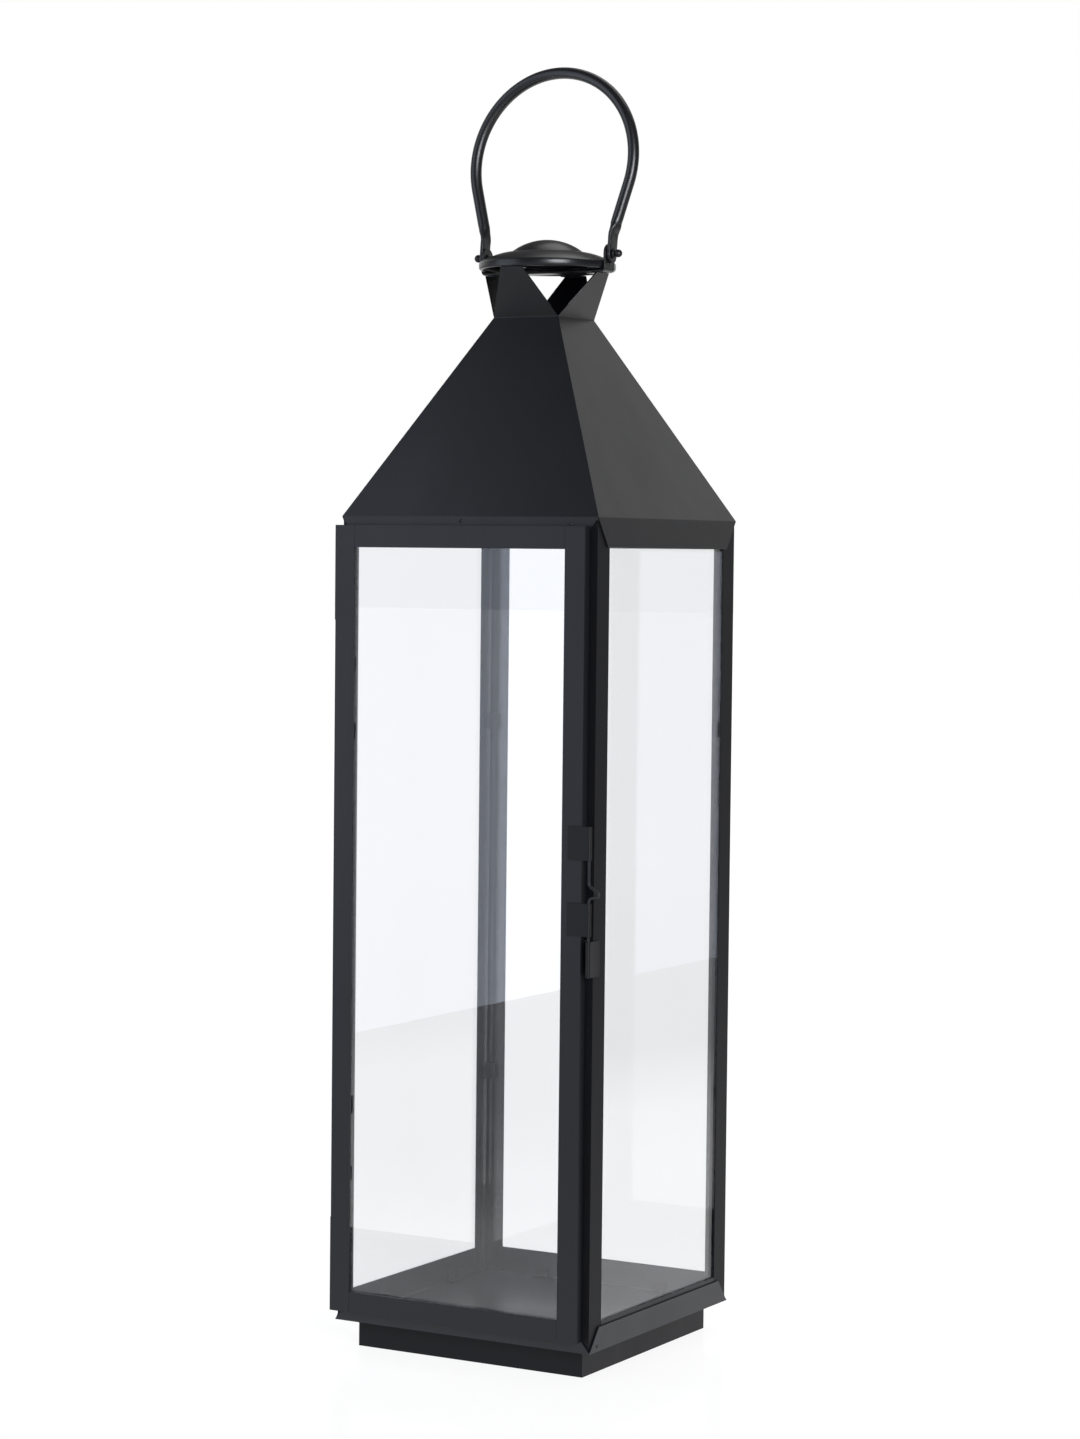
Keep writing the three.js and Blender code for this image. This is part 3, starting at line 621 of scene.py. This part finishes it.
def hinge(level):
    """Two leaves rolled round one pin: the door's at both its ends and the post's in the middle."""
    pin_low, pin_high = span(f"hinge_pin_{level}")
    door_low, door_high = span(f"hinge_door_leaf_{level}")
    post_low, post_high = span(f"hinge_post_leaf_{level}")
    ax, ay = HINGE_AXIS
    radius = (ax - door_low.x) - SHEET / 2
    leaf_x = door_high.x - SHEET / 2
    door_path = [(leaf_x, door_low.y), (leaf_x, ay - radius - 0.9 * MM), *curl(ax, ay, radius, -40, -345)]
    gap = 0.3 * MM
    ends = [(door_low.z, post_low.z - gap), (post_high.z + gap, door_high.z)]
    leaves = [rolled(door_path, SHEET, *end) for end in ends]
    plate = rolled([(leaf_x, door_low.y), (leaf_x, ay - radius - 1.4 * MM)], SHEET, ends[0][1], ends[1][0])
    mesh = join_meshes(f"door_leaf_{level}", [*leaves, plate])
    made = piece(f"door_leaf_{level}", mesh, DOOR, "frame", [f"hinge_door_leaf_{level}"])
    soften(made, 0.15 * MM, angle=40)
    post_x = post_high.x - SHEET / 2
    post_path = [(post_x, post_high.y), (post_x, ay + radius + 1.0 * MM), *curl(ax, ay, radius, 40, 345)]
    mesh = as_mesh(f"post_leaf_{level}", rolled(post_path, SHEET, post_low.z, post_high.z))
    made = piece(f"post_leaf_{level}", mesh, BODY, "frame", [f"hinge_post_leaf_{level}"])
    soften(made, 0.15 * MM, angle=40)
    r = (pin_high.x - pin_low.x) / 2
    points = [(0, pin_low.z), (r * 0.7, pin_low.z), (r, pin_low.z + 0.3 * MM), (r, pin_high.z - 0.3 * MM)]
    points += [(r * 0.7, pin_high.z), (0, pin_high.z)]
    mesh = as_mesh(f"pin_{level}", lathe(points, 24, Matrix.Translation((ax, ay, 0))))
    piece(f"pin_{level}", mesh, DOOR, "fittings", [f"hinge_pin_{level}"])


def latch():
    """Two sleeves on the door and a keeper on the post, rolled round the bent wire bolt, and the bolt."""
    ax, ay = BOLT_AXIS
    sheet = 0.6 * MM
    # The sleeves and the keeper take the latch paint, a darker copy of the fittings paint: painted shade.
    for level in ("upper", "lower"):
        low, high = span(f"latch_sleeve_{level}")
        radius = high.x - ax - sheet / 2
        leaf_y = low.y + sheet / 2
        path = [(low.x, leaf_y), (ax - radius * 0.3, leaf_y), *curl(ax, ay, radius, -90, 235)]
        mesh = as_mesh(f"sleeve_{level}", rolled(path, sheet, low.z, high.z))
        made = piece(f"sleeve_{level}", mesh, DOOR, "fittings", [f"latch_sleeve_{level}"], finish="latch")
        soften(made, 0.12 * MM, angle=40)
    low, high = span("latch_keeper")
    radius = high.x - ax - sheet / 2
    post_x = span("post_front_right")[1].x + 0.5 * MM
    path = [(post_x, high.y), (post_x, ay + 3.2 * MM), *curl(ax, ay, radius, 20, -300)]
    mesh = as_mesh("keeper_rolled", rolled(path, sheet, low.z, high.z))
    made = piece("keeper_rolled", mesh, BODY, "fittings", ["latch_keeper"], finish="latch")
    soften(made, 0.12 * MM, angle=40)
    wire_low, wire_high = span("latch_bolt")
    wire = (wire_high.y - wire_low.y) / 2
    pull = wire_high.x - wire - ax
    upper = span("latch_sleeve_upper")[0].z
    lower = span("latch_sleeve_lower")[1].z
    knots = [(0, wire_low.z), (0, lower), (0, lower + 1.6 * MM), (0.6 * MM, lower + 3.2 * MM)]
    knots += [(pull * 0.5, lower + 4.3 * MM), (pull * 0.92, lower + 4.9 * MM), (pull, lower + 6.3 * MM)]
    knots += [(pull * 0.9, lower + 7.8 * MM), (pull * 0.5, lower + 9.8 * MM)]
    knots += [(pull * 0.16, lower + 11.8 * MM), (0, lower + 13.4 * MM)]
    knots += [(0, lower + 16 * MM), (0, upper), (0, wire_high.z)]
    curve = bpy.data.curves.new("bolt_wire", "CURVE")
    curve.dimensions = "3D"
    line = curve.splines.new("NURBS")
    line.points.add(len(knots) - 1)
    for point, (out, z) in zip(line.points, knots):
        point.co = (ax + out, ay, z, 1)
    line.order_u = 3
    line.use_endpoint_u = True
    line.resolution_u = 10
    curve.bevel_depth = wire
    curve.bevel_resolution = 5
    curve.use_fill_caps = True
    shape = bpy.data.objects.new("bolt_wire_curve", curve)
    bpy.context.scene.collection.objects.link(shape)
    depsgraph = bpy.context.evaluated_depsgraph_get()
    mesh = bpy.data.meshes.new_from_object(shape.evaluated_get(depsgraph))
    bpy.data.objects.remove(shape)
    mesh.materials.clear()
    piece("bolt_wire", mesh, BOLT, "fittings", ["latch_bolt"])


# ---------------------------------------------------------------- the camera, the studio and its light
AWAY = Vector((-0.5, 0.866, 0))  # level, from the camera's side toward the backdrop
ACROSS = Vector((0.866, 0.5, 0))  # level, to the right as the camera sees it


def camera():
    """From the right of the door, a little above the lantern's middle, with a long lens."""
    place = Vector((1.2676, -2.2062, 0.5787))
    azimuth, pitch, roll = math.radians(29.88), math.radians(-2.70), math.radians(0.60)
    flat = math.cos(pitch)
    ahead = Vector((-math.sin(azimuth) * flat, math.cos(azimuth) * flat, math.sin(pitch)))
    level = ahead.cross(Vector((0, 0, 1))).normalized()
    above = level.cross(ahead)
    right = math.cos(roll) * level + math.sin(roll) * above
    up = -math.sin(roll) * level + math.cos(roll) * above
    data = bpy.data.cameras.new("camera")
    data.sensor_width = 36
    data.lens = 86.54
    made = bpy.data.objects.new("camera", data)
    made.matrix_world = Matrix.Translation(place) @ Matrix((right, up, -ahead)).transposed().to_4x4()
    bpy.context.scene.collection.objects.link(made)
    bpy.context.scene.camera = made


def floor():
    """A wide floor that glows white around and behind the lantern and mirrors the plinth very faintly."""
    made = bmesh.new()
    half = 30
    corners = ((-half, -half), (half, -half), (half, half), (-half, half))
    made.faces.new([made.verts.new((x, y, 0)) for x, y in corners])
    mesh = bpy.data.meshes.new("studio_floor")
    made.to_mesh(mesh)
    made.free()
    ground = bpy.data.objects.new("studio_floor", mesh)
    bpy.context.scene.collection.objects.link(ground)
    shade = Shader("pale_floor", Roughness=1.0, Specular_IOR_Level=0, Emission_Color=(1, 1, 1, 1))
    shade.drive(Base_Color=shade.blend(shade.noise(3), (0.15, 0.15, 0.151), (0.155, 0.155, 0.155)))
    field_middle, field_spread, dim = 0.2, 0.17, 0.42
    behind = shade.dot(AWAY)
    aside = shade.math("ABSOLUTE", shade.math("SUBTRACT", shade.dot(ACROSS), field_middle))
    aside = shade.math("SUBTRACT", aside, shade.math("MULTIPLY", behind, field_spread))
    sides = shade.remap(aside, 0.75, 1.1, 1, 0)
    front = shade.remap(behind, -0.9, -0.36, 0, 1)
    glow = shade.remap(behind, 0, 4, 0.94, 1.04)
    near = shade.remap(shade.math("MULTIPLY", sides, front), 0, 1, dim, 1)
    shade.drive(Emission_Strength=shade.math("MULTIPLY", near, glow))
    shade.cover(0.07, shade.node("ShaderNodeBsdfGlossy", Roughness=0.12))
    mesh.materials.append(shade.material)


def lamp(name, place, target, size, power, color):
    """A soft rectangular lamp that points at a target."""
    data = bpy.data.lights.new(name, "AREA")
    data.shape = "RECTANGLE"
    data.size, data.size_y = size
    data.energy = power
    data.color = color
    made = bpy.data.objects.new(name, data)
    made.location = place
    made.rotation_euler = (Vector(target) - Vector(place)).to_track_quat("-Z", "Y").to_euler()
    bpy.context.scene.collection.objects.link(made)


def studio():
    """A white backdrop, dark above and dim all round elsewhere, and lamps left, right and above."""
    world = bpy.data.worlds.new("studio")
    world.use_nodes = True
    nodes, links = world.node_tree.nodes, world.node_tree.links
    toward = nodes.new("ShaderNodeTexCoord").outputs["Generated"]

    def facing(direction, values):
        """How nearly the view points in a direction, -1 to 1, mapped by a range node's values."""
        dot = nodes.new("ShaderNodeVectorMath")
        dot.operation = "DOT_PRODUCT"
        dot.inputs[1].default_value = direction
        links.new(toward, dot.inputs[0])
        made = nodes.new("ShaderNodeMapRange")
        for name, value in zip(("From Min", "From Max", "To Min", "To Max"), values):
            made.inputs[name].default_value = value
        links.new(dot.outputs["Value"], made.inputs["Value"])
        return made.outputs["Result"]

    dim, half_lit, lit = 0.13, 0.54, 1.14
    ramp = nodes.new("ShaderNodeValToRGB")
    ramp.color_ramp.interpolation = "B_SPLINE"
    stops = [(0, dim), (0.60, dim), (0.68, 0.16), (0.73, 0.52), (0.80, half_lit), (0.88, lit), (1, lit)]
    while len(ramp.color_ramp.elements) < len(stops):
        ramp.color_ramp.elements.new(0.5)
    for element, (place, value) in zip(ramp.color_ramp.elements, stops):
        element.position = place
        element.color = (value, value, value, 1)
    links.new(facing(AWAY, (-1, 1, 0, 1)), ramp.inputs["Fac"])
    above_backdrop = (-0.383, 0.663, 0.643)
    dimmed = nodes.new("ShaderNodeVectorMath")
    dimmed.operation = "SCALE"
    links.new(ramp.outputs["Color"], dimmed.inputs[0])
    links.new(facing(above_backdrop, (0.875, 0.93, 1, 0.12)), dimmed.inputs["Scale"])
    links.new(dimmed.outputs["Vector"], nodes["Background"].inputs["Color"])
    nodes["Background"].inputs["Strength"].default_value = 1.0
    bpy.context.scene.world = world
    lamp("soft_box", (-1.0, -1.4, 1.0), (0, -1.4, 1.0), (1.8, 2.0), 18, (0.76, 0.84, 1.0))
    lamp("front_light", (1.95, -1.8, 1.1), (0, 0, 0.8), (1.3, 1.0), 75, (0.93, 0.95, 1.0))
    lamp("top_light", (0.2, 0.9, 2.6), (0, 0.2, 0), (2.0, 1.2), 12, (1, 1, 1))
    bpy.context.scene.view_settings.view_transform = "Standard"


roof()
cap()
bracket_strap()
bail_handle()
for side in (-1, 1):
    pivot_rivet(side)
for level in ("lower", "upper"):
    hinge(level)
latch()
welds()
camera()
floor()
studio()
